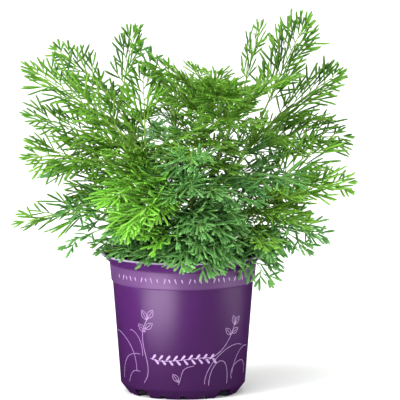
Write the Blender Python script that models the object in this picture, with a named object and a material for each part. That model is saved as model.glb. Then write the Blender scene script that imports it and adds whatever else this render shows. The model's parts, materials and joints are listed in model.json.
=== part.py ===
"""Potted southernwood: a thin plastic nursery pot, the potting soil in it, and a young plant of
nine upright stems that carry feathery, finely cut leaves.

Metres, +Z up. The origin is on the pot's axis, on the surface that the pot stands on.
The front is -Y and the right is +X. Compass angles are degrees from +X, anticlockwise from above.
"""

from itertools import product
from math import cos, pi, radians, sin, sqrt
from typing import NamedTuple

import bmesh
import bpy
from mathutils import Matrix, Vector
from mathutils.bvhtree import BVHTree

MM = 0.001
GAP = 0.3 * MM  # clearance between pieces that touch on the real thing
MERGE = 0.01 * MM

# The pot, turned about its axis
POT_HEIGHT = 103 * MM
POT_STEPS = 48
RIM_RADIUS = 60 * MM
LIP_WIDTH = 2.4 * MM
LIP_THICKNESS = 1.5 * MM
FLARE_HEIGHT = 6.3 * MM  # the cone between the lip and the band
BAND_RADIUS = 53.4 * MM
BAND_HEIGHT = 13.2 * MM
BAND_TAPER = 1.2 * MM
BAND_STEP = 1.0 * MM  # how far the band stands proud of the flare and the wall
WALL = 1.0 * MM
BASE_RADIUS = 45.3 * MM  # where the wall ends and the feet begin
FLOOR_UNDER = 6.4 * MM  # the floor's underside, above what the pot stands on
FLOOR_THICKNESS = 1.2 * MM

# The feet: a tapered skirt under the floor, cut into four, with three small arches in each
FOOT_HEIGHT = 7.4 * MM
FOOT_RADIUS = 39.5 * MM
FOOT_WIDTH = 1.5 * MM
FOOT_COUNT = 4
FOOT_GAP_WIDTH = 12.0 * MM
FOOT_GAP_HEIGHT = 5.8 * MM
ARCH_RADIUS = 2.9 * MM
ARCH_SPACING = 21.0  # degrees
DRAIN_RADIUS = 3.5 * MM
DRAIN_RING_SHARE = 0.62  # of the base radius
DRAIN_COUNT = 8

# The soil
SOIL_BELOW_RIM = 11 * MM
SOIL_CROWN = 4 * MM  # how much higher the soil stands in the middle
SOIL_STEPS = 32

# The stems
ROOTED_DEPTH = 18 * MM
STEM_BASE_RADIUS = 2.1 * MM
STEM_TIP_RADIUS = 1.1 * MM
STEM_SIDES = 8
STEM_RINGS = 7
STEM_UPRIGHT_SHARE = 0.55  # of its height, before it leans to its tip

# The leaves: a midrib with pairs of forward-swept lobes
LEAF_THICKNESS = 0.8 * MM
LEAF_WIDTH_SHARE = 0.34  # half the blade's width, of the leaf's length
PETIOLE_SHARE = 0.24  # the bare stalk, of the leaf's length
WIDEST_SHARE = 0.35  # where the blade is widest, along it
OUTLINE_SHARE = 0.75
TIP_PITCHES = 1.1  # from the last pair of lobes to the leaf's tip
MIDRIB_WIDTH = 1.8 * MM
LONG_LEAF = 70 * MM
LONG_LEAF_PAIRS = 4
SHORT_LEAF_PAIRS = 3
LOBE_WIDTH = 2.6 * MM
LOBE_SWEEP = 46.0  # degrees from the midrib
FORK_SHARE = 0.40  # where a lobe forks, along it
FORK_REACH = 0.42
SPREAD_SHARE = 0.42  # of the room between two lobes
LEAST_START_ANGLE = 20.0

# A leaf turns by as little as it has to, to keep clear of what grew before it
TURN_STEP = 5
MOST_TURN = 45
RISE_STEP = 6
MOST_RISE = 24
SHORTER = (1.0, 0.9, 0.8, 0.7, 0.6, 0.5)

FRESH = "leaf_fresh"
GREEN = "leaf_green"
SHADE = "leaf_shade"

COLOURS = {
    "pot_plastic": ((0.098, 0.027, 0.150), 0.30),
    "potting_soil": ((0.018, 0.012, 0.009), 0.95),
    "stem_green": ((0.210, 0.300, 0.070), 0.55),
    FRESH: ((0.260, 0.540, 0.050), 0.50),
    GREEN: ((0.060, 0.230, 0.015), 0.50),
    SHADE: ((0.055, 0.190, 0.060), 0.55),
}


class Leaf(NamedTuple):
    """Where a leaf grows and how it is held. Angles are in degrees and its length is in mm."""

    at: float  # share of the stem's height
    compass: float
    rise: float  # above the horizon, where it leaves the stem
    length: float
    droop: float  # how far it has turned down by its tip
    roll: float  # about its own length
    tone: str


class Stem(NamedTuple):
    """A stem's foot and tip in mm, and its leaves from the top down."""

    foot: tuple
    tip: tuple
    leaves: tuple


STEMS = {
    "right": Stem((14, -6), (41, -8, 208), (
        Leaf(1.00, 42, 74, 62, 8, -20, GREEN),
        Leaf(0.97, 322, 44, 62, 36, 20, GREEN),
        Leaf(0.86, 262, 34, 64, 60, -10, GREEN),
        Leaf(0.76, 118, 45, 66, 30, 0, SHADE),
        Leaf(0.64, 236, 22, 66, 56, -10, SHADE),
        Leaf(0.52, 326, 20, 78, 50, 20, SHADE),
    )),
    "centre": Stem((5, 6), (20, 8, 210), (
        Leaf(1.00, 192, 48, 58, 38, -27, GREEN),
        Leaf(0.94, 285, 40, 68, 66, 0, GREEN),
        Leaf(0.84, 48, 55, 72, 25, 0, GREEN),
        Leaf(0.72, 236, 32, 68, 58, 0, SHADE),
        Leaf(0.55, 345, 28, 68, 50, 0, SHADE),
    )),
    "left": Stem((-10, -10), (-27, -18, 178), (
        Leaf(1.00, 95, 72, 64, 12, 0, GREEN),
        Leaf(0.98, 176, 41, 112, 16, -38, GREEN),
        Leaf(0.90, 188, 29, 100, 20, -36, GREEN),
        Leaf(0.80, 197, 18, 100, 26, -34, GREEN),
        Leaf(0.70, 246, 34, 66, 66, -3, GREEN),
        Leaf(0.52, 206, 14, 84, 44, -25, SHADE),
    )),
    "back_left": Stem((-20, 10), (-45, 24, 206), (
        Leaf(1.00, 62, 76, 58, 10, -18, GREEN),
        Leaf(0.96, 150, 44, 78, 32, -32, GREEN),
        Leaf(0.85, 124, 36, 80, 36, 0, GREEN),
        Leaf(0.72, 222, 26, 72, 42, -10, GREEN),
        Leaf(0.48, 160, 22, 86, 44, -20, SHADE),
    )),
    "back": Stem((-4, 24), (-8, 44, 206), (
        Leaf(1.00, 140, 56, 52, 26, 0, SHADE),
        Leaf(0.93, 30, 40, 70, 36, 8, GREEN),
        Leaf(0.82, 84, 42, 70, 40, 0, GREEN),
        Leaf(0.66, 118, 26, 74, 48, -8, SHADE),
        Leaf(0.48, 58, 24, 74, 46, 8, SHADE),
    )),
    "back_right": Stem((24, 16), (52, 26, 184), (
        Leaf(1.00, 8, 68, 95, 8, 30, GREEN),
        Leaf(0.94, 4, 42, 84, 14, 36, GREEN),
        Leaf(0.84, 357, 20, 82, 30, 36, GREEN),
        Leaf(0.72, 62, 38, 80, 40, 0, GREEN),
        Leaf(0.50, 38, 20, 82, 44, 20, SHADE),
    )),
    "low_right": Stem((30, -6), (57, -18, 142), (
        Leaf(1.00, 30, 48, 78, 40, 30, GREEN),
        Leaf(0.94, 352, 22, 70, 24, 34, GREEN),
        Leaf(0.80, 334, -2, 64, 38, 25, SHADE),
        Leaf(0.68, 20, 0, 68, 30, 28, SHADE),
        Leaf(0.52, 300, 8, 60, 54, 0, SHADE),
    )),
    "front": Stem((6, -22), (6, -36, 162), (
        Leaf(1.00, 280, 46, 66, 80, 0, SHADE),
        Leaf(0.86, 214, 20, 80, 60, -15, FRESH),
        Leaf(0.74, 318, 26, 70, 58, 0, SHADE),
        Leaf(0.52, 278, 30, 62, 84, 0, SHADE),
        Leaf(0.40, 310, 24, 60, 80, 0, SHADE),
        Leaf(0.36, 240, 24, 60, 76, 0, FRESH),
    )),
    "front_left": Stem((-24, -14), (-32, -32, 136), (
        Leaf(1.00, 60, 72, 56, 20, 0, GREEN),
        Leaf(0.95, 190, 20, 94, 34, -34, GREEN),
        Leaf(0.78, 208, 14, 68, 36, -17, SHADE),
        Leaf(0.64, 166, 18, 66, 30, -32, SHADE),
        Leaf(0.56, 250, 24, 60, 62, -3, SHADE),
    )),
}


def material(slot):
    """The plain finish that a slot has in this model."""
    found = bpy.data.materials.get(slot)
    if found:
        return found
    colour, roughness = COLOURS[slot]
    made = bpy.data.materials.new(slot)
    made.use_nodes = True
    shader = made.node_tree.nodes["Principled BSDF"]
    shader.inputs["Base Color"].default_value = (*colour, 1.0)
    shader.inputs["Roughness"].default_value = roughness
    shader.inputs["Metallic"].default_value = 0.0
    return made


def as_object(name, bm, slot, parent=None, placement=None):
    """Turns a bmesh into a named object with its material, shaded smooth where it is round."""
    mesh = bpy.data.meshes.new(name)
    bm.to_mesh(mesh)
    bm.free()
    mesh.shade_smooth()
    mesh.set_sharp_from_angle(angle=radians(35))
    mesh.materials.append(material(slot))
    made = bpy.data.objects.new(name, mesh)
    bpy.context.scene.collection.objects.link(made)
    made.parent = parent
    if placement:
        made.matrix_world = placement
    return made


def face_outwards(bm):
    """Turns every face of a closed shape to point out of it."""
    bm.normal_update()
    bmesh.ops.recalc_face_normals(bm, faces=bm.faces)
    if bm.calc_volume(signed=True) < 0:
        bmesh.ops.reverse_faces(bm, faces=bm.faces)


def as_cutter(name, bm):
    """A shape that only cuts another: it isn't a piece of the object."""
    cutter = as_object(name, bm, "pot_plastic")
    cutter.hide_render = True
    cutter.display_type = "WIRE"
    return cutter


def cut(target, cutter):
    """Takes the cutter's shape out of the target."""
    boolean = target.modifiers.new("cut_" + cutter.name, "BOOLEAN")
    boolean.operation = "DIFFERENCE"
    boolean.solver = "EXACT"
    boolean.object = cutter


def turned(profile, steps):
    """A solid of revolution about +Z. The profile runs from axis to axis as (radius, height) points."""
    bm = bmesh.new()
    points = [bm.verts.new((radius, 0, height)) for radius, height in profile]
    edges = [bm.edges.new(ends) for ends in zip(points, points[1:])]
    bmesh.ops.spin(bm, geom=points + edges, cent=(0, 0, 0), axis=(0, 0, 1),
                   angle=2 * pi, steps=steps, use_merge=True)
    bmesh.ops.remove_doubles(bm, verts=bm.verts, dist=MERGE)
    face_outwards(bm)
    return bm


def tube(path, radii, sides):
    """A closed tube of round sections along an upright path."""
    bm = bmesh.new()
    ring = bmesh.ops.create_circle(bm, segments=sides, radius=1.0)["verts"]
    flat = [vert.co.copy() for vert in ring]
    edges = list(bm.edges)
    for index, (point, radius) in enumerate(zip(path, radii)):
        if index:
            grown = bmesh.ops.extrude_edge_only(bm, edges=edges)["geom"]
            ring = [item for item in grown if isinstance(item, bmesh.types.BMVert)]
            edges = [item for item in grown if isinstance(item, bmesh.types.BMEdge)]
        before, after = path[max(index - 1, 0)], path[min(index + 1, len(path) - 1)]
        facing = Vector((0, 0, 1)).rotation_difference(after - before)
        for vert, corner in zip(ring, flat):
            vert.co = point + facing @ (corner * radius)
    bmesh.ops.holes_fill(bm, edges=bm.edges, sides=sides)
    face_outwards(bm)
    return bm


# ---------------------------------------------------------------- the pot and its soil

BAND_TOP = POT_HEIGHT - LIP_THICKNESS - FLARE_HEIGHT
BAND_BOTTOM = BAND_TOP - BAND_HEIGHT
WALL_TOP_RADIUS = BAND_RADIUS - BAND_TAPER - BAND_STEP
FLOOR_TOP = FLOOR_UNDER + FLOOR_THICKNESS
INSIDE = (  # from the floor's edge up to the lip, as (radius, height)
    (BASE_RADIUS - WALL, FLOOR_TOP),
    (WALL_TOP_RADIUS - WALL, BAND_BOTTOM),
    (BAND_RADIUS - BAND_STEP - WALL, BAND_TOP),
    (RIM_RADIUS - LIP_WIDTH, POT_HEIGHT),
)
SOIL_EDGE = POT_HEIGHT - SOIL_BELOW_RIM


def inside_radius(height):
    """The radius of the pot's inner wall at a height."""
    for (low_radius, low), (high_radius, high) in zip(INSIDE, INSIDE[1:]):
        if height <= high:
            share = (height - low) / (high - low)
            return low_radius + share * (high_radius - low_radius)
    return INSIDE[-1][0]


def pot_profile():
    """The pot's section, from the floor's middle up the inside and down the outside."""
    outside = [
        (RIM_RADIUS, POT_HEIGHT),
        (RIM_RADIUS, POT_HEIGHT - LIP_THICKNESS),
        (RIM_RADIUS - LIP_WIDTH / 2, POT_HEIGHT - LIP_THICKNESS),
        (BAND_RADIUS - BAND_STEP / 2, BAND_TOP),
        (BAND_RADIUS, BAND_TOP - BAND_STEP / 2),
        (BAND_RADIUS - BAND_TAPER, BAND_BOTTOM + BAND_STEP / 2),
        (WALL_TOP_RADIUS, BAND_BOTTOM),
        (BASE_RADIUS, FOOT_HEIGHT),
        (FOOT_RADIUS, 0.0),
        (FOOT_RADIUS - FOOT_WIDTH, 0.0),
        (BASE_RADIUS - 2 * FOOT_WIDTH, FLOOR_UNDER),
        (0.0, FLOOR_UNDER),
    ]
    return [(0.0, FLOOR_TOP), *INSIDE, *outside]


def drain_cutters():
    """Everything that is cut from the pot's base: foot gaps, arches and drain holes."""
    bm = bmesh.new()
    pitch = 2 * pi / FOOT_COUNT
    reach = BASE_RADIUS - FOOT_RADIUS + 4 * FOOT_WIDTH  # past both faces of the skirt
    for foot in range(FOOT_COUNT):
        gap = Matrix.Rotation(pitch * (foot + 0.5), 4, "Z")
        size = Matrix.Diagonal((2 * reach, FOOT_GAP_WIDTH, 2 * FOOT_GAP_HEIGHT, 1))
        centre = Matrix.Translation((BASE_RADIUS, 0, 0))
        bmesh.ops.create_cube(bm, size=1.0, matrix=gap @ centre @ size)
        for arch in (-1, 0, 1):
            facing = Matrix.Rotation(pitch * foot + radians(ARCH_SPACING) * arch, 4, "Z")
            lying = Matrix.Translation((FOOT_RADIUS, 0, 0)) @ Matrix.Rotation(pi / 2, 4, "Y")
            bmesh.ops.create_cone(bm, cap_ends=True, segments=12, radius1=ARCH_RADIUS,
                                  radius2=ARCH_RADIUS, depth=2 * reach, matrix=facing @ lying)
    ring = BASE_RADIUS * DRAIN_RING_SHARE
    places = [(ring, 2 * pi * (hole + 0.5) / DRAIN_COUNT) for hole in range(DRAIN_COUNT)]
    for radius, angle in [(0.0, 0.0), *places]:
        place = (radius * cos(angle), radius * sin(angle), (FLOOR_UNDER + FLOOR_TOP) / 2)
        bmesh.ops.create_cone(bm, cap_ends=True, segments=12, radius1=DRAIN_RADIUS,
                              radius2=DRAIN_RADIUS, depth=4 * FLOOR_THICKNESS,
                              matrix=Matrix.Translation(place))
    face_outwards(bm)
    return bm


def make_pot(parent):
    pot = as_object("pot", turned(pot_profile(), POT_STEPS), "pot_plastic", parent)
    cut(pot, as_cutter("drain_cutters", drain_cutters()))
    return pot


def soil_height(radius):
    """The soil's surface, which stands a little higher in the middle."""
    share = radius / inside_radius(SOIL_EDGE)
    return SOIL_EDGE + SOIL_CROWN * (1 - share * share)


def make_soil(parent, sockets):
    """Fills the pot to just below its rim, with a socket round each stem's foot."""
    edge_radius = inside_radius(SOIL_EDGE) - GAP
    profile = [
        (0.0, FLOOR_TOP + GAP),
        (BASE_RADIUS - WALL - GAP, FLOOR_TOP + GAP),
        (WALL_TOP_RADIUS - WALL - GAP, BAND_BOTTOM),
        (edge_radius, SOIL_EDGE),
        (edge_radius * 0.7, soil_height(edge_radius * 0.7)),
        (edge_radius * 0.35, soil_height(edge_radius * 0.35)),
        (0.0, soil_height(0.0)),
    ]
    soil = as_object("potting_soil", turned(profile, SOIL_STEPS), "potting_soil", parent)
    for name, socket in sockets.items():
        cut(soil, as_cutter(name + "_socket", socket))
    return soil


# ---------------------------------------------------------------- the stems


def stem_point(stem, share):
    """A point on the stem's centreline: share 0 is at the soil and 1 is its tip."""
    foot_x, foot_y = (place * MM for place in stem.foot)
    foot = Vector((foot_x, foot_y, soil_height(sqrt(foot_x**2 + foot_y**2))))
    tip = Vector(stem.tip) * MM
    bend = foot + Vector((0, 0, (tip.z - foot.z) * STEM_UPRIGHT_SHARE))
    if share < 0:
        return foot + Vector((0, 0, share * (tip.z - foot.z)))
    return foot.lerp(bend, share).lerp(bend.lerp(tip, share), share)


def stem_radius(share):
    return STEM_BASE_RADIUS + (STEM_TIP_RADIUS - STEM_BASE_RADIUS) * max(share, 0.0)


def stem_tube(stem, clearance=0.0):
    """The stem from its rooted end to its tip, or the socket that clears it."""
    height = stem_point(stem, 1.0).z - stem_point(stem, 0.0).z
    depth = (ROOTED_DEPTH + clearance) / height
    shares = [-depth] + [ring / (STEM_RINGS - 1) for ring in range(STEM_RINGS)]
    return tube([stem_point(stem, share) for share in shares],
                [stem_radius(share) + clearance for share in shares], STEM_SIDES)


# ---------------------------------------------------------------- the leaves


def blade_half_width(share):
    """How far the lobes reach from the midrib, as a share of the most, along the blade."""
    return sqrt(1.0 - ((share - WIDEST_SHARE) / OUTLINE_SHARE) ** 2)


class LeafOutline:
    """A leaf grown flat, edge by edge: its midrib runs along +X and its lobes to both sides."""

    def __init__(self):
        self.bm = bmesh.new()
        half = MIDRIB_WIDTH / 2
        self.end = self.bm.edges.new([self.bm.verts.new((0, side * half, 0)) for side in (-1, 1)])

    def onward(self, edge, near_side, far_side):
        """Grows a quad from an edge, and returns its two side edges and its far edge."""
        across = far_side - near_side
        near = sorted(edge.verts, key=lambda vert: vert.co.dot(across))
        grown = bmesh.ops.extrude_edge_only(self.bm, edges=[edge])["geom"]
        far = [item for item in grown if isinstance(item, bmesh.types.BMVert)]
        far.sort(key=lambda vert: (vert.co - near[0].co).length)
        far[0].co, far[1].co = near_side, far_side
        sides = [self.bm.edges.get(pair) for pair in zip(near, far)]
        return sides[0], sides[1], self.bm.edges.get(far)

    def pointed(self, edge, tip):
        """Grows a pointed lobe from an edge."""
        grown = bmesh.ops.extrude_edge_only(self.bm, edges=[edge])["geom"]
        ends = [item for item in grown if isinstance(item, bmesh.types.BMVert)]
        bmesh.ops.pointmerge(self.bm, verts=ends, merge_co=tip)

    def midrib_to(self, distance, width=MIDRIB_WIDTH):
        """Carries the midrib on, and returns its right and left edges."""
        right, left = (Vector((distance, side * width / 2, 0)) for side in (-1, 1))
        *sides, self.end = self.onward(self.end, right, left)
        return sides

    def pinna(self, edge, side, start, reach, spread):
        """A side lobe that carries a pair of smaller lobes and a pointed end."""
        sweep = radians(LOBE_SWEEP)
        along = Vector((cos(sweep), side * sin(sweep), 0))
        tipward = Vector((sin(sweep), -side * cos(sweep), 0))
        root = Vector((start + LOBE_WIDTH / 2, side * MIDRIB_WIDTH / 2, 0))
        length = reach / sin(sweep)
        for share in (FORK_SHARE, FORK_SHARE + LOBE_WIDTH / length):
            middle = root + along * length * share
            half = tipward * LOBE_WIDTH / 2
            base_side, tip_side, edge = self.onward(edge, middle - half, middle + half)
        fork = root + along * length * (FORK_SHARE + FORK_REACH)
        self.pointed(base_side, fork - tipward * spread)
        self.pointed(tip_side, fork + tipward * spread)
        self.pointed(edge, root + along * length)

    def solid(self, thickness):
        """The whole outline given its thickness, as a closed shape."""
        bm = self.bm
        top = bmesh.ops.extrude_face_region(bm, geom=bm.faces[:])["geom"]
        for vert in bm.verts:
            vert.co.z = -thickness / 2
        for item in top:
            if isinstance(item, bmesh.types.BMVert):
                item.co.z = thickness / 2
        face_outwards(bm)
        return bm


def flat_leaf(length, thickness):
    """A leaf lying flat: a bare stalk, then pairs of lobes, then a pointed end."""
    leaf = LeafOutline()
    stalk = length * PETIOLE_SHARE
    pairs = LONG_LEAF_PAIRS if length > LONG_LEAF else SHORT_LEAF_PAIRS
    pitch = (length - stalk) / (pairs + TIP_PITCHES)
    spread = pitch * sin(radians(LOBE_SWEEP)) * SPREAD_SHARE
    for pair in range(pairs):
        start = stalk + pitch * pair
        leaf.midrib_to(start)
        reach = length * LEAF_WIDTH_SHARE * blade_half_width(pair / (pairs - 1))
        for side, edge in zip((-1, 1), leaf.midrib_to(start + LOBE_WIDTH)):
            leaf.pinna(edge, side, start, reach, spread)
    leaf.pointed(leaf.end, Vector((length, 0, 0)))
    return leaf.solid(thickness)


def bent_leaf(leaf, length, thickness):
    """The flat leaf curved down along its length, as it hangs from its own weight."""
    bm = flat_leaf(length, thickness)
    curve = radians(leaf.droop) / length
    for vert in bm.verts:
        along, across, up = vert.co
        turn = curve * along
        vert.co = (
            sin(turn) / curve + up * sin(turn),
            across,
            (cos(turn) - 1) / curve + up * cos(turn),
        )
    return bm


def leaf_placement(stem, leaf, compass, rise):
    """Puts a leaf's base just clear of the stem's side, facing its compass and rise."""
    turn = (Matrix.Rotation(radians(compass), 4, "Z") @ Matrix.Rotation(-radians(rise), 4, "Y")
            @ Matrix.Rotation(radians(leaf.roll), 4, "X"))
    outward = turn.to_3x3() @ Vector((1, 0, 0))
    upward = stem_point(stem, leaf.at) - stem_point(stem, leaf.at - 0.05)
    angle = max(outward.angle(upward), radians(LEAST_START_ANGLE))
    clear = stem_radius(leaf.at) + 2 * GAP + MIDRIB_WIDTH / 2
    start = stem_point(stem, leaf.at) + outward * (clear / sin(angle))
    return Matrix.Translation(start) @ turn


def tree_of(bm, placement):
    """The placed shape, for finding what it crosses."""
    return BVHTree.FromPolygons([placement @ vert.co for vert in bm.verts],
                                [[vert.index for vert in face.verts] for face in bm.faces])


def ways_to_turn():
    """Turns to try, as (shorter, compass, rise), the least first."""
    compasses = range(-MOST_TURN, MOST_TURN + 1, TURN_STEP)
    rises = range(-MOST_RISE, MOST_RISE + 1, RISE_STEP)
    return sorted(product(SHORTER, compasses, rises),
                  key=lambda way: (-way[0], abs(way[1]) + abs(way[2]), way))


def settled_leaf(stem, leaf, placed):
    """The leaf's length and placement once it has turned clear of everything placed before it."""
    for shorter, compass, rise in ways_to_turn():
        length = leaf.length * MM * shorter
        placement = leaf_placement(stem, leaf, leaf.compass + compass, leaf.rise + rise)
        bm = bent_leaf(leaf, length, LEAF_THICKNESS + 2 * GAP)
        bm.faces.ensure_lookup_table()
        bm.verts.index_update()
        tree = tree_of(bm, placement)
        bm.free()
        if not any(tree.overlap(other) for other in placed):
            placed.append(tree)
            return length, placement
    raise ValueError("a leaf has no room to grow")


def make_plant(parent, placed):
    """The stems first, then the leaves, each in the room that is left."""
    for name, stem in STEMS.items():
        made = as_object(name + "_stem", stem_tube(stem), "stem_green", parent)
        placed.append(BVHTree.FromPolygons([vert.co for vert in made.data.vertices],
                                           [face.vertices for face in made.data.polygons]))
    for name, stem in STEMS.items():
        for number, leaf in enumerate(stem.leaves, start=1):
            length, placement = settled_leaf(stem, leaf, placed)
            blade = bent_leaf(leaf, length, LEAF_THICKNESS)
            as_object(f"{name}_leaf_{number}", blade, leaf.tone, parent, placement)


def main():
    for old in list(bpy.data.objects):
        bpy.data.objects.remove(old)
    whole = bpy.data.objects.new("potted_southernwood", None)
    bpy.context.scene.collection.objects.link(whole)
    pot = make_pot(whole)
    make_soil(whole, {name: stem_tube(stem, GAP) for name, stem in STEMS.items()})
    solid_pot = bmesh.new()
    solid_pot.from_mesh(pot.data)
    placed = [tree_of(solid_pot, Matrix())]
    make_plant(whole, placed)


main()
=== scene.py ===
"""A potted southernwood: nine stems of feathery, finely cut leaves in a plum plastic pot.

Metres, +Z up, the pot's axis on Z and the front towards -Y. Each frond is grown round the
midrib of its CAD leaf, and the pot and the soil follow the sizes of theirs.
"""

import json
from math import cos, pi, radians, sin, sqrt

import bmesh
import bpy
import numpy as np
from mathutils import Matrix, Vector, noise

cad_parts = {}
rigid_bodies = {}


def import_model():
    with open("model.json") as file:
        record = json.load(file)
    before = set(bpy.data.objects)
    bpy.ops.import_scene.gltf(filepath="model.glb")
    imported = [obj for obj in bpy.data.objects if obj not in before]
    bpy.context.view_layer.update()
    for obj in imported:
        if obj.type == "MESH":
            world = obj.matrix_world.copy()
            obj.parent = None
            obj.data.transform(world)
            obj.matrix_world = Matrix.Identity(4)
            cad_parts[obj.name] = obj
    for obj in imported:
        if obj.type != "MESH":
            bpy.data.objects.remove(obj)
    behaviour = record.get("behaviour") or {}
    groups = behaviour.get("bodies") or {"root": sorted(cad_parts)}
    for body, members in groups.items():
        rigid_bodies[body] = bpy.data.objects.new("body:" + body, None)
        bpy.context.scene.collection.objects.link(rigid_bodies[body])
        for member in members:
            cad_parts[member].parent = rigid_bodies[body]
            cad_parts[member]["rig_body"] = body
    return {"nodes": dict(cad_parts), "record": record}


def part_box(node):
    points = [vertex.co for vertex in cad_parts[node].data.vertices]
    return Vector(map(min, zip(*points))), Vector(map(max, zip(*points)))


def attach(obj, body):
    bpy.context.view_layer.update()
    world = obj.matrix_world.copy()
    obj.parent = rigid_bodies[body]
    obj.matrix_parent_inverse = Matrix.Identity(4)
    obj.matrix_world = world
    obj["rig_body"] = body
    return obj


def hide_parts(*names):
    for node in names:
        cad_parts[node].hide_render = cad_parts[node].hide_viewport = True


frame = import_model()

for spare in list(bpy.data.objects):
    if "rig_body" not in spare and spare.name not in frame["nodes"] and spare.type != "EMPTY":
        bpy.data.objects.remove(spare)
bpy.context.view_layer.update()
MM = 0.001
TINY = 0.01 * MM

# ---------------------------------------------------------------- finishes

NOISE_LOW, NOISE_HIGH = 0.3, 0.7  # nearly all of a noise's values lie between these
LIGHT_THROUGH_LEAF = 0.24  # the share of light that shines through a blade
POT_GLOSS = 0.012  # the share of light that the pot mirrors
POT_BODY = ((0.30, (0.0205, 0.0019, 0.0345)), (0.70, (0.0235, 0.0023, 0.0385)))
BAND_COLOUR = (0.058, 0.023, 0.078)
# pale lilac painted on the pot's top edge as a highlight
LIP_HIGHLIGHT_COLOUR = (0.56, 0.52, 0.66)


class Finish:
    """A material under way: its nodes, and the Principled shader that they feed."""

    def __init__(self, name, **sockets):
        self.material = bpy.data.materials.new(name)
        self.material.use_nodes = True
        self.nodes = self.material.node_tree.nodes
        self.links = self.material.node_tree.links
        self.shader = self.nodes["Principled BSDF"]
        self.output = self.nodes["Material Output"]
        self.base(**sockets)

    def feed(self, socket, value):
        """Links a socket to another node's, or sets its value."""
        if isinstance(value, bpy.types.NodeSocket):
            self.links.new(value, socket)
        else:
            socket.default_value = value

    def add(self, kind, inputs=None, **settings):
        """A new node with these settings and inputs."""
        node = self.nodes.new("ShaderNode" + kind)
        for setting, value in settings.items():
            setattr(node, setting, value)
        for socket, value in (inputs or {}).items():
            self.feed(node.inputs[socket], value)
        return node

    def place(self):
        """The object's own coordinates, in metres."""
        return self.add("TexCoord").outputs["Object"]

    def noise(self, scale, detail=2.0, where=None, roughness=0.5):
        """Cloudy noise, with so many features to the metre."""
        inputs = {"Vector": where or self.place(), "Scale": scale, "Detail": detail,
                  "Roughness": roughness}
        return self.add("TexNoise", inputs).outputs["Fac"]

    def attribute(self, name):
        """A fact that the mesh holds at each corner."""
        return self.add("Attribute", attribute_name=name).outputs["Fac"]

    def maths(self, operation, first, second):
        """A sum or a product of two values."""
        return self.add("Math", {0: first, 1: second}, operation=operation).outputs[0]

    def span(self, value, low, high, to_low, to_high):
        """A value's run from low to high, stretched to another run and held at its ends."""
        inputs = {0: value, 1: low, 2: high, 3: to_low, 4: to_high}
        return self.add("MapRange", inputs).outputs[0]

    def spread(self, noise_value, to_low, to_high):
        """A noise stretched to a run."""
        return self.span(noise_value, NOISE_LOW, NOISE_HIGH, to_low, to_high)

    def ramp(self, factor, *stops):
        """A run of colours, each stop as (place, colour)."""
        node = self.add("ValToRGB", {"Fac": factor})
        ramp = node.color_ramp
        while len(ramp.elements) < len(stops):
            ramp.elements.new(1.0)
        for element, (place, colour) in zip(ramp.elements, stops):
            element.position = place
            element.color = (*colour, 1.0)
        return node.outputs["Color"]

    def mixed(self, factor, first, second):
        """One colour turning into another as the factor goes from 0 to 1."""
        node = self.add("Mix", data_type="RGBA")
        sockets = {"Factor_Float": factor, "A_Color": first, "B_Color": second}
        for socket in node.inputs:
            if socket.identifier in sockets:
                value = sockets[socket.identifier]
                self.feed(socket, (*value, 1.0) if isinstance(value, tuple) else value)
        return next(socket for socket in node.outputs if socket.identifier == "Result_Color")

    def bump(self, height, distance, strength):
        """Fine relief, so many metres deep."""
        inputs = {"Height": height, "Distance": distance, "Strength": strength}
        self.base(Normal=self.add("Bump", inputs).outputs["Normal"])

    def base(self, **sockets):
        """Sets or feeds the Principled shader's own sockets."""
        for socket, value in sockets.items():
            self.feed(self.shader.inputs[socket.replace("_", " ")], value)

    def blend(self, share, other):
        """Lets another shader take a share of the surface."""
        both = self.add("MixShader", {0: share, 1: self.shader.outputs[0], 2: other.outputs[0]})
        self.feed(self.output.inputs["Surface"], both.outputs[0])


def leaf_finish(name, dark, middle, light, stalk):
    """Living leaf: every lobe has its own green, paler towards its tip, with a soft sheen."""
    leaf = Finish(name, Specular_IOR_Level=0.22)
    patches = leaf.spread(leaf.noise(38.0), -0.16, 0.16)
    tint = leaf.maths("ADD", leaf.attribute("tint"), patches)
    blade = leaf.ramp(tint, (0.0, dark), (0.5, middle), (1.0, light))
    tip = leaf.span(leaf.attribute("tip"), 0.60, 1.0, 0.0, 0.40)
    tip_colour = tuple(part * 0.8 + 0.05 for part in light)
    colour = leaf.mixed(leaf.attribute("stalk"), leaf.mixed(tip, blade, tip_colour), stalk)
    leaf.base(Base_Color=colour, Roughness=leaf.spread(leaf.noise(420.0, 3.0), 0.42, 0.64))
    leaf.bump(leaf.noise(1900.0), 0.08 * MM, 0.6)
    red, green, blue = light
    glow = leaf.mixed(0.35, colour, (red * 0.6, green, blue))
    leaf.blend(LIGHT_THROUGH_LEAF, leaf.add("BsdfTranslucent", {"Color": glow}))
    return leaf.material


def stem_finish():
    """Young stems: brownish and woody at the soil, fresh yellow-green above, finely ribbed."""
    stem = Finish("stem_green", Specular_IOR_Level=0.4)
    mottle = stem.spread(stem.noise(160.0, 3.0), -0.12, 0.12)
    height = stem.maths("ADD", stem.attribute("tip"), mottle)
    colour = stem.ramp(height, (0.0, (0.10, 0.075, 0.035)), (0.22, (0.16, 0.19, 0.05)),
                       (0.55, (0.27, 0.40, 0.10)), (1.0, (0.30, 0.48, 0.11)))
    stem.base(Base_Color=colour, Roughness=stem.spread(stem.noise(700.0), 0.42, 0.6))
    stem.bump(stem.noise(1500.0, 3.0), 0.12 * MM, 0.7)
    return stem.material


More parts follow.
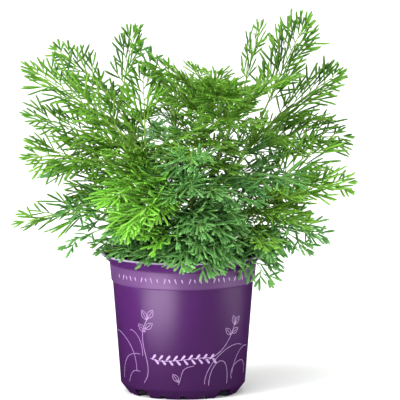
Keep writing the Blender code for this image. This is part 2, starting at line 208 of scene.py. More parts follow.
def plastic_finish(band_bottom, band_top):
    """Glossy moulded plum plastic, paler on the band, with a painted highlight along the top edge,
    faintly clouded.
    """
    pot = Finish("pot_plastic", Specular_IOR_Level=0.0)
    where = pot.place()
    height = pot.add("SeparateXYZ", {0: where}).outputs["Z"]
    flow = pot.add("Mapping", {"Vector": where, "Scale": (1.0, 1.0, 0.6)}).outputs["Vector"]
    body = pot.ramp(pot.noise(22.0, 2.0, flow), *POT_BODY)
    above = pot.span(height, band_bottom - 0.4 * MM, band_bottom + 0.6 * MM, 0.0, 1.0)
    below = pot.span(height, band_top - 0.6 * MM, band_top + 0.4 * MM, 1.0, 0.0)
    colour = pot.mixed(pot.maths("MULTIPLY", above, below), body, BAND_COLOUR)
    # painted highlight: the top edge of the rim turns pale lilac
    lip_highlight = pot.span(height, RIM_HEIGHT - 1.5 * MM, RIM_HEIGHT - 0.6 * MM, 0.0, 0.60)
    rough = pot.span(pot.noise(70.0, 3.0, flow), 0.35, 0.75, 0.285, 0.325)
    pot.base(Base_Color=pot.mixed(lip_highlight, colour, LIP_HIGHLIGHT_COLOUR), Roughness=rough)
    pot.bump(pot.noise(320.0, 1.0), 0.01 * MM, 0.25)
    gloss = pot.add("BsdfAnisotropic", {"Roughness": rough, "Color": (1.0, 0.82, 1.0, 1.0)})
    pot.blend(POT_GLOSS, gloss)
    return pot.material


def print_finish():
    """Thin pale lilac ink, worn a little unevenly."""
    ink = Finish("pale_print", Specular_IOR_Level=0.45)
    worn = ink.noise(300.0, 4.0)
    colour = ink.ramp(worn, (0.3, (0.30, 0.19, 0.36)), (0.7, (0.42, 0.30, 0.48)))
    ink.base(Base_Color=colour, Roughness=ink.spread(worn, 0.34, 0.5))
    return ink.material


def soil_finish():
    """Peaty potting soil: near black, with brown fibres and a few paler specks."""
    soil = Finish("potting_soil", Specular_IOR_Level=0.2)
    grain = soil.noise(420.0, 5.0, roughness=0.7)
    earth = soil.ramp(grain, (0.30, (0.004, 0.003, 0.002)), (0.55, (0.018, 0.011, 0.007)),
                      (0.80, (0.055, 0.034, 0.020)))
    cells = soil.add("TexVoronoi", {"Vector": soil.place(), "Scale": 260.0})
    specks = soil.span(cells.outputs["Distance"], 0.10, 0.16, 0.5, 0.0)
    colour = soil.mixed(specks, earth, (0.11, 0.075, 0.045))
    soil.base(Base_Color=colour, Roughness=soil.spread(grain, 0.8, 0.98))
    soil.bump(soil.noise(900.0, 5.0), 0.6 * MM, 0.8)
    return soil.material


def paper_finish():
    """A matt pale studio floor."""
    paper = Finish("studio_paper", Specular_IOR_Level=0.1, Roughness=0.95)
    tone = paper.ramp(paper.noise(3.0), (0.3, (0.90, 0.90, 0.90)), (0.7, (0.93, 0.93, 0.93)))
    paper.base(Base_Color=tone)
    return paper.material


# ---------------------------------------------------------------- making pieces


def as_mesh(name, bm):
    """Turns a bmesh into a mesh."""
    mesh = bpy.data.meshes.new(name)
    bm.to_mesh(mesh)
    bm.free()
    return mesh


def add_object(name, data):
    """A new object in the scene."""
    item = bpy.data.objects.new(name, data)
    bpy.context.scene.collection.objects.link(item)
    return item


def as_piece(name, bm, material, slot, *nodes, smooth=40.0):
    """Turns a bmesh into a piece that rides on the plant and stands for these CAD nodes."""
    mesh = as_mesh(name, bm)
    mesh.shade_smooth()
    mesh.set_sharp_from_angle(angle=radians(smooth))
    mesh.materials.append(material)
    piece = add_object(name, mesh)
    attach(piece, "root")
    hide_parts(*nodes)
    return piece


def face_outwards(bm):
    """Turns every face of a closed shape to point out of it."""
    bm.normal_update()
    bmesh.ops.recalc_face_normals(bm, faces=bm.faces)
    if bm.calc_volume(signed=True) < 0:
        bmesh.ops.reverse_faces(bm, faces=bm.faces)


def turned(profile, steps):
    """A solid of revolution about +Z. The profile runs from axis to axis as (radius, height)."""
    bm = bmesh.new()
    points = [bm.verts.new((radius, 0, height)) for radius, height in profile]
    edges = [bm.edges.new(ends) for ends in zip(points, points[1:])]
    bmesh.ops.spin(bm, geom=points + edges, cent=(0, 0, 0), axis=(0, 0, 1),
                   angle=2 * pi, steps=steps, use_merge=True)
    bmesh.ops.remove_doubles(bm, verts=bm.verts, dist=TINY)
    face_outwards(bm)
    return bm


class Strand:
    """A closed rod along +Z, one unit round and long, that is copied and bent for every blade."""

    def __init__(self, sides, levels, pointed):
        bm = bmesh.new()
        bmesh.ops.create_cone(bm, cap_ends=True, segments=sides, radius1=1.0,
                              radius2=0.0 if pointed else 1.0, depth=1.0,
                              matrix=Matrix.Translation((0, 0, 0.5)))
        for level in levels[1:-1]:
            bmesh.ops.bisect_plane(bm, geom=bm.verts[:] + bm.edges[:] + bm.faces[:],
                                   plane_co=(0, 0, level), plane_no=(0, 0, 1))
        face_outwards(bm)
        self.levels = np.array(levels)
        self.mesh = as_mesh("strand", bm)
        corners = np.array([vert.co for vert in self.mesh.vertices])
        self.level = np.abs(corners[:, 2:] - self.levels).argmin(axis=1)
        radial = corners[:, :2]
        size = np.linalg.norm(radial, axis=1, keepdims=True)
        self.radial = np.where(size > TINY, radial / np.maximum(size, TINY), 0.0)


def even_levels(count):
    """So many levels from 0 to 1."""
    return tuple(step / (count - 1) for step in range(count))


LOBE = Strand(6, (0.0, 0.22, 0.5, 0.78, 0.93, 1.0), True)
LOBE_WIDTHS = np.array((0.46, 0.72, 0.94, 1.0, 0.74, 0.0))
STALK = Strand(5, (0.0, 0.35, 0.7, 1.0), False)
STALK_WIDTHS = np.array((1.0, 0.95, 0.9, 0.8))
RACHIS = Strand(6, even_levels(18), False)
STEM = Strand(14, even_levels(48), False)
STEM_RIBS = 5


def unit(vectors):
    """The same directions with a length of 1."""
    return vectors / np.linalg.norm(vectors, axis=-1, keepdims=True)


class Growth:
    """Blades and stalks gathered for one piece, each a bent copy of a strand."""

    def __init__(self):
        self.bm = bmesh.new()
        self.places, self.tints, self.tips, self.stalks = [], [], [], []

    def add(self, strand, path, facing, widths, depths, tint, stalk=0.0, tips=None, ribs=0.0):
        """Bends a copy of the strand along a path, its flat side facing this way.

        The tint, stalk and tips are what the finishes read: which green, how much of it is
        stalk, and how far along the strand each level lies.
        """
        self.bm.from_mesh(strand.mesh)
        along = unit(np.gradient(path, axis=0))
        across = unit(np.cross(along, facing))
        upward = np.cross(across, along)
        level = strand.level
        side = strand.radial[:, :1]
        rise = strand.radial[:, 1:]
        if ribs:
            swell = 1.0 + ribs * np.cos(STEM_RIBS * np.arctan2(rise, side))
            side, rise = side * swell, rise * swell
        places = (path[level] + across[level] * side * widths[level, None]
                  + upward[level] * rise * depths[level, None])
        count = len(level)
        self.places.append(places)
        self.tints.append(np.full(count, tint))
        tips = strand.levels if tips is None else tips
        self.tips.append(tips[level])
        self.stalks.append(np.full(count, stalk))

    def piece(self, name, material, slot, *nodes):
        """The finished piece, its corners in place and its colour facts on them."""
        made = as_piece(name, self.bm, material, slot, *nodes, smooth=60.0)
        mesh = made.data
        mesh.vertices.foreach_set("co", np.concatenate(self.places).astype(np.float32).ravel())
        for fact, values in (("tint", self.tints), ("tip", self.tips), ("stalk", self.stalks)):
            held = mesh.attributes.new(fact, "FLOAT", "POINT")
            held.data.foreach_set("value", np.concatenate(values).astype(np.float32))
        mesh.update()
        return made


# ---------------------------------------------------------------- what the CAD says

MIDRIB_REACH = 1.2 * MM  # a corner this near a leaf's middle line belongs to its midrib
TIP_REACH = 0.2 * MM  # and this near, it is one of the corners at the leaf's tip
STATION_GAP = 1.2 * MM  # the least distance between two stations along a midrib
RING_GAP = 3 * MM  # the least height between two rings of a stem


def node_corners(name):
    """A CAD node's separate corners."""
    corners = np.array([vert.co for vert in frame["nodes"][name].data.vertices])
    return np.unique(corners.round(6), axis=0)


class Midrib:
    """A smooth line to grow a frond along, from where it leaves the stem to its tip."""

    def __init__(self, points, across, half_width):
        steps = np.linalg.norm(np.diff(points, axis=0), axis=1)
        shares = np.concatenate(((0.0,), np.cumsum(steps))) / steps.sum()
        degree = min(3, len(points) - 1)
        self.curves = [np.polyfit(shares, points[:, axis], degree) for axis in range(3)]
        self.across = across
        self.half_width = half_width
        self.length = steps.sum()
        bulge = self.at(0.5) - (self.at(0.0) + self.at(1.0)) / 2
        facing = np.cross(across, self.at(1.0) - self.at(0.0))
        self.turn = 1.0 if facing @ bulge > 0 else -1.0

    def at(self, share):
        """The place at a share of the length."""
        return np.stack([np.polyval(curve, share) for curve in self.curves], axis=-1)

    def along(self, share):
        """The direction towards the tip there."""
        slopes = [np.polyval(np.polyder(curve), share) for curve in self.curves]
        return unit(np.stack(slopes, axis=-1))

    def facing(self, share):
        """Which way the frond's upper side faces."""
        return unit(np.cross(self.across, self.along(share))) * self.turn


def leaf_midrib(name):
    """The midrib of a CAD leaf, read from its solid."""
    corners = node_corners(name)
    middle = corners.mean(axis=0)
    spread = np.linalg.eigh(np.cov((corners - middle).T))[1].T

    def unlike(axis):
        """How far the leaf is from its own mirror image across this axis."""
        mirrored = corners - 2 * ((corners - middle) @ axis)[:, None] * axis
        gaps = np.linalg.norm(mirrored[:, None] - corners[None], axis=2)
        return gaps.min(axis=1).max()

    across = min(spread, key=unlike)
    aside = (corners - middle) @ across
    tip = corners[np.abs(aside) < TIP_REACH].mean(axis=0)
    rib = corners[np.abs(aside) < MIDRIB_REACH]
    rib = rib[np.argsort(-np.linalg.norm(rib - tip, axis=1))]
    gaps = -np.diff(np.linalg.norm(rib - tip, axis=1))
    groups = np.split(rib, np.nonzero(gaps > STATION_GAP)[0] + 1)
    stations = [group.mean(axis=0) for group in groups]
    stations[-1] = tip
    return Midrib(np.array(stations), across, np.abs(aside).max())


def stem_line(name):
    """A CAD stem's centreline from its rooted end to its tip, and its radius at each point."""
    corners = node_corners(name)
    corners = corners[np.argsort(corners[:, 2])]
    groups = np.split(corners, np.nonzero(np.diff(corners[:, 2]) > RING_GAP)[0] + 1)
    centres = np.array([group.mean(axis=0) for group in groups])
    radii = [np.linalg.norm(group - centre, axis=1).mean()
             for group, centre in zip(groups, centres)]
    return centres, np.array(radii)


def stem_of(leaf):
    """The name of the stem that a leaf grows on."""
    return leaf.rsplit("_leaf_", 1)[0]


NODES = sorted(frame["nodes"])
STEMS = {name[:-len("_stem")]: stem_line(name) for name in NODES if name.endswith("_stem")}
LEAVES = {name: leaf_midrib(name) for name in NODES if "_leaf_" in name}
SLOTS = {row["node"]: row["material_slot"] for row in frame["record"]["subparts"]}
POT_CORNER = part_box("pot")[1]
RIM_RADIUS = POT_CORNER.x
RIM_HEIGHT = POT_CORNER.z

# ---------------------------------------------------------------- the pot

LIP_WIDTH = 2.4 * MM
LIP_THICKNESS = 1.5 * MM
FLARE_HEIGHT = 6.3 * MM
BAND_RADIUS = RIM_RADIUS - 6.6 * MM
BAND_HEIGHT = 13.2 * MM
BAND_TAPER = 1.2 * MM
BAND_STEP = 1.0 * MM
WALL = 1.0 * MM
BASE_RADIUS = RIM_RADIUS - 14.7 * MM
FLOOR_UNDER = 6.4 * MM
FLOOR_THICKNESS = 1.2 * MM
FOOT_HEIGHT = 7.4 * MM
FOOT_RADIUS = BASE_RADIUS - 5.8 * MM
FOOT_WIDTH = 1.5 * MM
FOOT_COUNT = 4
FOOT_GAP_WIDTH = 12 * MM
FOOT_GAP_HEIGHT = 5.8 * MM
ARCH_RADIUS = 2.9 * MM
ARCH_TURNS = (-21.0, 0.0, 21.0)  # degrees round from a foot's middle
CUT_DEPTH = 24 * MM
DRAIN_RADIUS = 3.5 * MM
DRAIN_COUNT = 8
DRAIN_RING = BASE_RADIUS * 0.62
POT_STEPS = 144
EDGE_ROUNDING = 0.35 * MM
BAND_TOP = RIM_HEIGHT - LIP_THICKNESS - FLARE_HEIGHT
BAND_BOTTOM = BAND_TOP - BAND_HEIGHT
WALL_TOP_RADIUS = BAND_RADIUS - BAND_TAPER - BAND_STEP
FLOOR_TOP = FLOOR_UNDER + FLOOR_THICKNESS


def pot_profile():
    """The pot's section, from the floor's middle up the inside and down the outside."""
    return [
        (0.0, FLOOR_TOP),
        (BASE_RADIUS - WALL, FLOOR_TOP),
        (WALL_TOP_RADIUS - WALL, BAND_BOTTOM),
        (BAND_RADIUS - BAND_STEP - WALL, BAND_TOP),
        (RIM_RADIUS - LIP_WIDTH, RIM_HEIGHT),
        (RIM_RADIUS, RIM_HEIGHT),
        (RIM_RADIUS, RIM_HEIGHT - LIP_THICKNESS),
        (RIM_RADIUS - LIP_WIDTH / 2, RIM_HEIGHT - LIP_THICKNESS),
        (BAND_RADIUS - BAND_STEP / 2, BAND_TOP),
        (BAND_RADIUS, BAND_TOP - BAND_STEP / 2),
        (BAND_RADIUS - BAND_TAPER, BAND_BOTTOM + BAND_STEP / 2),
        (WALL_TOP_RADIUS, BAND_BOTTOM),
        (BASE_RADIUS, FOOT_HEIGHT),
        (FOOT_RADIUS, 0.0),
        (FOOT_RADIUS - FOOT_WIDTH, 0.0),
        (BASE_RADIUS - 2 * FOOT_WIDTH, FLOOR_UNDER),
        (0.0, FLOOR_UNDER),
    ]


def base_cutters():
    """What is cut from the pot's base: four foot gaps, small arches and drain holes."""
    bm = bmesh.new()
    gap_size = Matrix.Diagonal((CUT_DEPTH, FOOT_GAP_WIDTH, 2 * FOOT_GAP_HEIGHT, 1))
    gap_place = Matrix.Translation((BASE_RADIUS, 0, 0))
    lying = Matrix.Translation((FOOT_RADIUS, 0, 0)) @ Matrix.Rotation(pi / 2, 4, "Y")
    for foot in range(FOOT_COUNT):
        between = Matrix.Rotation(2 * pi / FOOT_COUNT * (foot + 0.5), 4, "Z")
        bmesh.ops.create_cube(bm, size=1.0, matrix=between @ gap_place @ gap_size)
        for turn in ARCH_TURNS:
            facing = Matrix.Rotation(2 * pi / FOOT_COUNT * foot + radians(turn), 4, "Z")
            drill(bm, ARCH_RADIUS, CUT_DEPTH, facing @ lying)
    drains = [(DRAIN_RING, 2 * pi / DRAIN_COUNT * (hole + 0.5)) for hole in range(DRAIN_COUNT)]
    for radius, angle in [(0.0, 0.0), *drains]:
        place = (radius * cos(angle), radius * sin(angle), (FLOOR_UNDER + FLOOR_TOP) / 2)
        drill(bm, DRAIN_RADIUS, 4 * FLOOR_THICKNESS, Matrix.Translation(place))
    face_outwards(bm)
    return bm


def drill(bm, radius, depth, place):
    """Adds a round cutter."""
    bmesh.ops.create_cone(bm, cap_ends=True, segments=24, radius1=radius, radius2=radius,
                          depth=depth, matrix=place)


def make_pot():
    """The pot with its edges softened and its base cut, made final in one mesh."""
    bm = turned(pot_profile(), POT_STEPS)
    rims = [edge for edge in bm.edges if len(edge.link_faces) == 2
            and edge.calc_face_angle(0.0) > radians(20)
            and abs(edge.verts[0].co.z - edge.verts[1].co.z) < TINY]
    bmesh.ops.bevel(bm, geom=rims, offset=EDGE_ROUNDING, segments=3, profile=0.5, affect="EDGES",
                    material=-1, clamp_overlap=True)
    pot = as_piece("nursery_pot", bm, plastic_finish(BAND_BOTTOM, BAND_TOP), "pot_plastic", "pot")
    cutter = add_object("base_cutters", as_mesh("base_cutters", base_cutters()))
    boolean = pot.modifiers.new("base", "BOOLEAN")
    boolean.operation = "DIFFERENCE"
    boolean.solver = "EXACT"
    boolean.object = cutter
    bpy.context.view_layer.update()
    finished = pot.evaluated_get(bpy.context.evaluated_depsgraph_get())
    pot_mesh = bpy.data.meshes.new_from_object(finished)
    pot.modifiers.clear()
    pot.data = pot_mesh
    pot_mesh.shade_smooth()
    pot_mesh.set_sharp_from_angle(angle=radians(32))
    bpy.data.objects.remove(cutter)


def wall_radius(height):
    """The outside of the wall or the band at a height."""
    if height > BAND_BOTTOM:
        share = (height - BAND_BOTTOM) / BAND_HEIGHT
        return BAND_RADIUS - BAND_TAPER * (1 - share)
    share = (height - FOOT_HEIGHT) / (BAND_BOTTOM - FOOT_HEIGHT)
    return BASE_RADIUS + (WALL_TOP_RADIUS - BASE_RADIUS) * share


# ---------------------------------------------------------------- the print on the pot

INK_LIFT = 0.02 * MM
INK_DEPTH = 0.07 * MM
SPRIG_LINE = 0.20  # half the width of a drawn line, in mm
ARC_LINE = 0.17
GARLAND_LINE = 0.24
GARLAND_HEIGHT = 30.4
MARKS_HEIGHT = 88.8
SPRIGS = (  # a sprig's stalk, its leaves as (turn, height, lean) and their length
    ([(-38, 12), (-33, 26), (-37, 42), (-31, 60)],
     [(-34, 50, -48), (-34, 52, 52), (-32, 59, -30), (-31, 60, 34)], 8.0),
    ([(20, 30), (34, 35), (44, 44), (50, 55)],
     [(46, 47, -46), (47, 48, 66), (50, 54, -16), (50, 54, 40)], 7.5),
)
ARCS = (
    [(-78, 47), (-66, 46), (-52, 38), (-46, 20)],
    [(-68, 13), (-62, 26), (-52, 32), (-41, 33)],
    [(-58, 11), (-54, 17), (-49, 20), (-42, 20)],
    [(-38, 32), (-40, 43), (-46, 49), (-52, 50)],
    [(20, 12), (26, 26), (42, 37), (62, 38)],
    [(24, 11), (30, 26), (40, 27), (44, 11)],
    [(74, 36), (62, 35), (54, 28), (50, 18)],
    [(50, 14), (53, 24), (66, 26), (72, 16)],
    [(-4, 12), (-1, 20), (2, 24), (10, 26)],
)


class Print:
    """Thin raised ink lines on the wall. A place is (degrees round from the front, height in mm)."""

    def __init__(self):
        self.growth = Growth()

    def line(self, places, width):
        """A line through these places, which are smoothed and wrapped round the wall."""
        places = np.array(places, float)
        knots = np.linspace(0.0, 1.0, len(places))
        turn, height = (np.polyval(np.polyfit(knots, places[:, axis], 3), RACHIS.levels)
                        for axis in (0, 1))
        self.wrap(RACHIS, turn, height, np.full(len(turn), width))

    def wrap(self, strand, turn, height, widths):
        """A strand laid on the wall through these turns and heights."""
        angle = np.radians(turn)
        radius = np.array([wall_radius(rise * MM) for rise in height]) + INK_LIFT
        outward = np.stack((np.sin(angle), -np.cos(angle), np.zeros_like(angle)), axis=1)
        path = outward * radius[:, None]
        path[:, 2] = height * MM
        depths = np.where(widths > 0.0, INK_DEPTH, 0.0)
        self.growth.add(strand, path, outward, widths * MM, depths, 0.5)

    def leaf(self, turn, height, lean, length, width):
        """A small almond leaf from this place, leaning so many degrees from straight up."""
        reach = sin(radians(lean)) * length / self.arc(height)
        rise = cos(radians(lean)) * length
        self.wrap(LOBE, turn + reach * LOBE.levels, height + rise * LOBE.levels,
                  LOBE_WIDTHS * width)

    def outlined_leaf(self, turn, height, lean, length):
        """A leaf drawn as its two edges and its vein."""
        share = RACHIS.levels
        for bulge in (-0.26, 0.0, 0.26):
            along = share * length * (1.0 if bulge else 0.8)
            aside = bulge * length * np.sin(pi * share)
            way, side = radians(lean), radians(lean + 90)
            reach = sin(way) * along + sin(side) * aside
            rise = cos(way) * along + cos(side) * aside
            self.wrap(RACHIS, turn + reach / self.arc(height), height + rise,
                      np.full(len(share), ARC_LINE))

    def arc(self, height):
        """How many mm a degree is at this height."""
        return radians(1.0) * wall_radius(height * MM) / MM


def make_print():
    """Generic printed sprigs over looping lines, a garland in front, and marks on the band."""
    ink = Print()
    for stalk, leaves, length in SPRIGS:
        ink.line(stalk, SPRIG_LINE)
        for turn, height, lean in leaves:
            ink.outlined_leaf(turn, height, lean, length)
    for arc in ARCS:
        ink.line(arc, ARC_LINE)
    ink.outlined_leaf(-4, 14, -34, 7.0)
    ink.line([(-30, 31), (-12, 29.5), (12, 31.5), (30, 30)], GARLAND_LINE)
    for step in range(9):
        turn = -28 + step * 6.6
        rise = GARLAND_HEIGHT + 0.5 * sin(turn / 9)
        ink.leaf(turn, rise, 40, 4.6, 0.95)
        ink.leaf(turn + 2.6, rise, 140, 4.6, 0.95)
    for step in range(25):
        tall = 4.0 if step % 2 else 2.8
        lean = 18 if step % 4 == 1 else -18
        ink.leaf(-60 + step * 5.0, MARKS_HEIGHT - tall / 2, lean, tall, 0.55)
    ink.growth.piece("printed_sprigs", print_finish(), "pot_plastic")


# ---------------------------------------------------------------- the soil

SOIL_EDGE = RIM_HEIGHT - 11 * MM
SOIL_CROWN = 4 * MM
SOIL_GAP = 0.3 * MM
SOIL_STEPS = 110
SOIL_RINGS = 26
LUMP_HEIGHT = 1.1 * MM
LUMPS_PER_METRE = 190.0
CRUMB_COUNT = 420
CRUMB_ROUGHNESS = 0.25 * MM
CRUMB_SEED = 41


def inside_radius(height):
    """The radius of the pot's inner wall at a height up its band or wall."""
    rows = pot_profile()[1:5]
    return float(np.interp(height, [row[1] for row in rows], [row[0] for row in rows]))


SOIL_RADIUS = inside_radius(SOIL_EDGE) - SOIL_GAP


def soil_height(radius):
    """How high the soil stands this far from the pot's axis."""
    return SOIL_EDGE + SOIL_CROWN * (1 - (radius / SOIL_RADIUS) ** 2)


def make_soil():
    """Crumbly soil: a lumpy top, with loose crumbs lying on it."""
    rows = [(0.0, FLOOR_TOP + SOIL_GAP), (BASE_RADIUS - WALL - SOIL_GAP, FLOOR_TOP + SOIL_GAP),
            (WALL_TOP_RADIUS - WALL - SOIL_GAP, BAND_BOTTOM), (SOIL_RADIUS, SOIL_EDGE)]
    rings = [SOIL_RADIUS * (1 - step / SOIL_RINGS) for step in range(1, SOIL_RINGS + 1)]
    bm = turned(rows + [(radius, soil_height(radius)) for radius in rings], SOIL_STEPS)
    for vert in bm.verts:
        if vert.co.z > SOIL_EDGE - 1 * MM:
            vert.co.z += noise.fractal(vert.co * LUMPS_PER_METRE, 0.8, 2.1, 4) * LUMP_HEIGHT
    finish = soil_finish()
    as_piece("soil_surface", bm, finish, "potting_soil", "potting_soil", smooth=75.0)

    rng = np.random.default_rng(CRUMB_SEED)
    noise.seed_set(CRUMB_SEED)
    crumbs = bmesh.new()
    for _ in range(CRUMB_COUNT):
        radius = SOIL_RADIUS * 0.95 * sqrt(rng.random())
        angle = rng.random() * 2 * pi
        size = rng.uniform(0.5, 1.7) * MM
        place = Vector((radius * cos(angle), radius * sin(angle), soil_height(radius) + size * 0.3))
        stretch = Matrix.Diagonal((rng.uniform(0.7, 1.6), rng.uniform(0.6, 1.1), 0.7, 1.0))
        turn = Matrix.Rotation(rng.uniform(0, 2 * pi), 4, "Z")
        bmesh.ops.create_icosphere(crumbs, subdivisions=1, radius=size,
                                   matrix=Matrix.Translation(place) @ turn @ stretch)
    for vert in crumbs.verts:
        vert.co += noise.noise_vector(vert.co * 900.0) * CRUMB_ROUGHNESS
    as_piece("soil_crumbs", crumbs, finish, "potting_soil", smooth=20.0)


# ---------------------------------------------------------------- the stems

STEM_SLIMMING = 0.94  # keeps the ribs inside the CAD stem
NODE_SWELLING = 0.22  # how much thicker a stem is where a leaf leaves it
NODE_REACH = 2.6 * MM  # how far up and down that shows


def smooth_line(points, share):
    """A point on a smooth line through these, by share of its length."""
    steps = np.linalg.norm(np.diff(points, axis=0), axis=1)
    shares = np.concatenate(((0.0,), np.cumsum(steps))) / steps.sum()
    curves = [np.polyfit(shares, points[:, axis], 4) for axis in range(3)]
    return np.stack([np.polyval(curve, share) for curve in curves], axis=-1)


def make_stems(material):
    """Ribbed stems, a little swollen where each leaf leaves them."""
    levels = STEM.levels
    facing = np.tile((0.0, -1.0, 0.0), (len(levels), 1))
    for name, (centres, radii) in STEMS.items():
        path = smooth_line(centres, levels)
        radius = np.interp(levels, np.linspace(0, 1, len(radii)), radii) * STEM_SLIMMING
        for leaf, midrib in LEAVES.items():
            if stem_of(leaf) == name:
                away = np.abs(path[:, 2] - midrib.at(0.0)[2]) / NODE_REACH
                radius = radius * (1 + NODE_SWELLING * np.exp(-away ** 2))
        above_soil = (path[:, 2] - SOIL_EDGE) / (path[-1, 2] - SOIL_EDGE)
        growth = Growth()
        growth.add(STEM, path, facing, radius, radius, 0.5, tips=np.clip(above_soil, 0, 1),
                   ribs=0.05)
        growth.piece(name + "_ribbed_stem", material, "stem_green", name + "_stem")


# ---------------------------------------------------------------- the fronds

FROND_END = 0.87  # the share of a midrib where its frond's rachis ends
BARE_SHARE = 0.19  # the share near the stem that carries no branches
BRANCH_PITCH = 7.6 * MM
SHORTEST_BRANCH = 9.5 * MM  # anything shorter is a single lobe
SHORTEST_LOBE = 7.0 * MM
LONGEST_TIP = 11.0 * MM
THREE_LOBES = 14.0 * MM  # a longer branch carries three side lobes instead of two
FOUR_LOBES = 21.0 * MM  # and a longer one still, four
LOBE_DEPTH = 0.45  # of its width
LOBE_TINTS = 0.42  # how far a lobe's green may differ from its frond's
HELD = 4  # how many of the rachis's levels lie between the stem and the midrib
# How far the lobes spread, how crowded the branches are, and how wide the lobes are
HABITS = {"leaf_green": (1.05, 0.90, 1.08), "leaf_shade": (1.55, 0.70, 1.26),
          "leaf_fresh": (1.30, 0.84, 1.24)}


class Frond:
    """Grows one finely cut leaf along a midrib: paired side branches that carry narrow lobes."""

    def __init__(self, growth, midrib, rng, tint, slot, lush=1.0):
        self.growth = growth
        self.spread, crowding, self.wide = HABITS[slot]
        self.lush = lush * crowding
        self.midrib = midrib
        self.rng = rng
        self.tint = tint

    def vary(self, amount):
        """A random number between minus and plus this amount."""
        return self.rng.uniform(-amount, amount)

    def lobe(self, start, way, facing, length, bow, width=1.0):
        """A narrow blade that starts thin, widens and ends in a blunt point."""
        share = LOBE.levels[:, None]
        path = start + way * length * share + bow * length * share ** 2
        widths = LOBE_WIDTHS * width * self.wide * MM * (0.84 + self.vary(0.12))
        self.growth.add(LOBE, path, np.broadcast_to(facing, path.shape), widths,
                        widths * LOBE_DEPTH, self.tint + self.vary(LOBE_TINTS))

    def stalk(self, start, way, facing, length, bow, width):
        """The thin stalk that a branch's lobes leave."""
        share = STALK.levels[:, None]
        path = start + way * length * share + bow * length * share ** 2
        widths = STALK_WIDTHS * width * MM
        self.growth.add(STALK, path, np.broadcast_to(facing, path.shape), widths, widths * 0.7,
                        self.tint + self.vary(0.1), stalk=0.35)

    def branch(self, start, along, aside, facing, length):
        """A side branch with lobes that leave it by turns and fan out to an even fringe."""
        sweep = radians(31 + 10 * self.spread + self.vary(7))
        lift = radians(self.vary(22 * self.spread) + 6)
        out = aside * cos(lift) + facing * sin(lift)
        way = unit(along * cos(sweep) + out * sin(sweep))
        bow = along * (0.14 + self.vary(0.06)) - facing * 0.05
        up = unit(facing - way * (facing @ way))
        over = unit(np.cross(up, way))
        self.stalk(start, way, up, length * 0.54, bow * 0.54, 0.46)
        hand = 1 if self.rng.random() < 0.5 else -1
        for number in range(2 + (length > THREE_LOBES) + (length > FOUR_LOBES)):
            share = 0.13 + 0.13 * number + self.vary(0.03)
            place = start + way * length * share + bow * length * share ** 2
            local = unit(way + 2 * bow * share)
            angle = radians((29 - 10 * share + self.vary(6)) * self.spread)
            tilt = radians(self.vary(34 * self.spread))
            outward = over * hand * cos(tilt) + up * sin(tilt)
            lean = unit(local * cos(angle) + outward * sin(angle))
            size = length * (0.70 - 0.22 * share) * (1 + self.vary(0.14))
            lobe_bow = local * 0.07 + over * self.vary(0.10) + up * self.vary(0.10)
            self.lobe(place, lean, up, size, lobe_bow)
            hand = -hand
        end = start + way * length * 0.44 + bow * length * 0.19
        local = unit(way + 2 * bow * 0.44)
        self.lobe(end, local, up, max(length * 0.57, 8.5 * MM), bow * 0.5, 1.05)

    def rachis(self, root):
        """The frond's own stalk, from inside the stem to near its tip."""
        midrib = self.midrib
        shares = np.linspace(0.0, FROND_END + 0.01, len(RACHIS.levels) - HELD)
        base = midrib.at(0.0)
        elbow = base - midrib.along(0.0) * np.linalg.norm(base - root) * 0.6
        held = np.arange(HELD)[:, None] / HELD
        rooted = root * (1 - held) ** 2 + elbow * 2 * held * (1 - held) + base * held ** 2
        path = np.concatenate((rooted, midrib.at(shares)))
        facing = np.concatenate((np.tile(midrib.facing(0.0), (HELD, 1)), midrib.facing(shares)))
        thick = min(1.0, 0.55 + midrib.length / 0.2) * MM
        widths = thick * np.concatenate((np.linspace(1.25, 0.85, HELD),
                                         np.linspace(0.82, 0.34, len(shares))))
        self.growth.add(RACHIS, path, facing, widths, widths * 0.78, self.tint, stalk=0.85)

    def grow(self, root):
        """The whole frond: the rachis, its side branches, and the lobes at its tip."""
        self.rachis(root)
        midrib = self.midrib
        bare = BARE_SHARE + self.vary(0.02)
        count = max(3, int(round(midrib.length * (FROND_END - bare) / BRANCH_PITCH * self.lush)))
        for number in range(count):
            blade = (number + 0.25) / count
            envelope = sqrt(max(0.06, 1 - ((blade - 0.30) / 0.74) ** 2))
            for side in (-1, 1):
                share = bare + (FROND_END - bare) * blade + side * 0.14 / count + self.vary(0.006)
                self.side(min(max(share, bare), FROND_END - 0.01), side, envelope)
        end, along, facing = midrib.at(FROND_END), midrib.along(FROND_END), midrib.facing(FROND_END)
        tip = min(max(0.11 * midrib.length, SHORTEST_LOBE), LONGEST_TIP)
        for lean in (-0.42, 0.0, 0.40):
            way = unit(along + midrib.across * lean + facing * self.vary(0.12))
            self.lobe(end, way, facing, tip * (1.0 - abs(lean) * 0.3), along * 0.05, 1.05)

    def side(self, share, side, envelope):
        """A branch on one side of the rachis, or a single lobe where there is little room."""
        midrib = self.midrib
        start, along, facing = midrib.at(share), midrib.along(share), midrib.facing(share)
        reach = midrib.half_width * envelope * (1.0 + self.vary(0.12))
        room = (FROND_END - share) * midrib.length / 0.80 + 6.0 * MM
        length = min(reach * 1.02, room)
        if length >= SHORTEST_BRANCH:
            self.branch(start, along, midrib.across * side, facing, length)
            return
        angle = radians(36 + self.vary(9))
        way = unit(along * cos(angle) + midrib.across * side * sin(angle)
                   + facing * self.vary(0.25))
        self.lobe(start, way, facing, max(length, SHORTEST_LOBE), along * 0.12)


# Every piece draws its random numbers from its own seed, counted on from these
FROND_SEED = 1000
YOUNG_SEED = 5000
FILLER_SEED = 7000
# Which green each stem's fronds are, from 0 for the darkest to 1 for the lightest
STEM_TINTS = {"left": 0.34, "back_left": 0.32, "centre": 0.50, "right": 0.50, "back_right": 0.47,
              "low_right": 0.58, "back": 0.42, "front": 0.42, "front_left": 0.42}
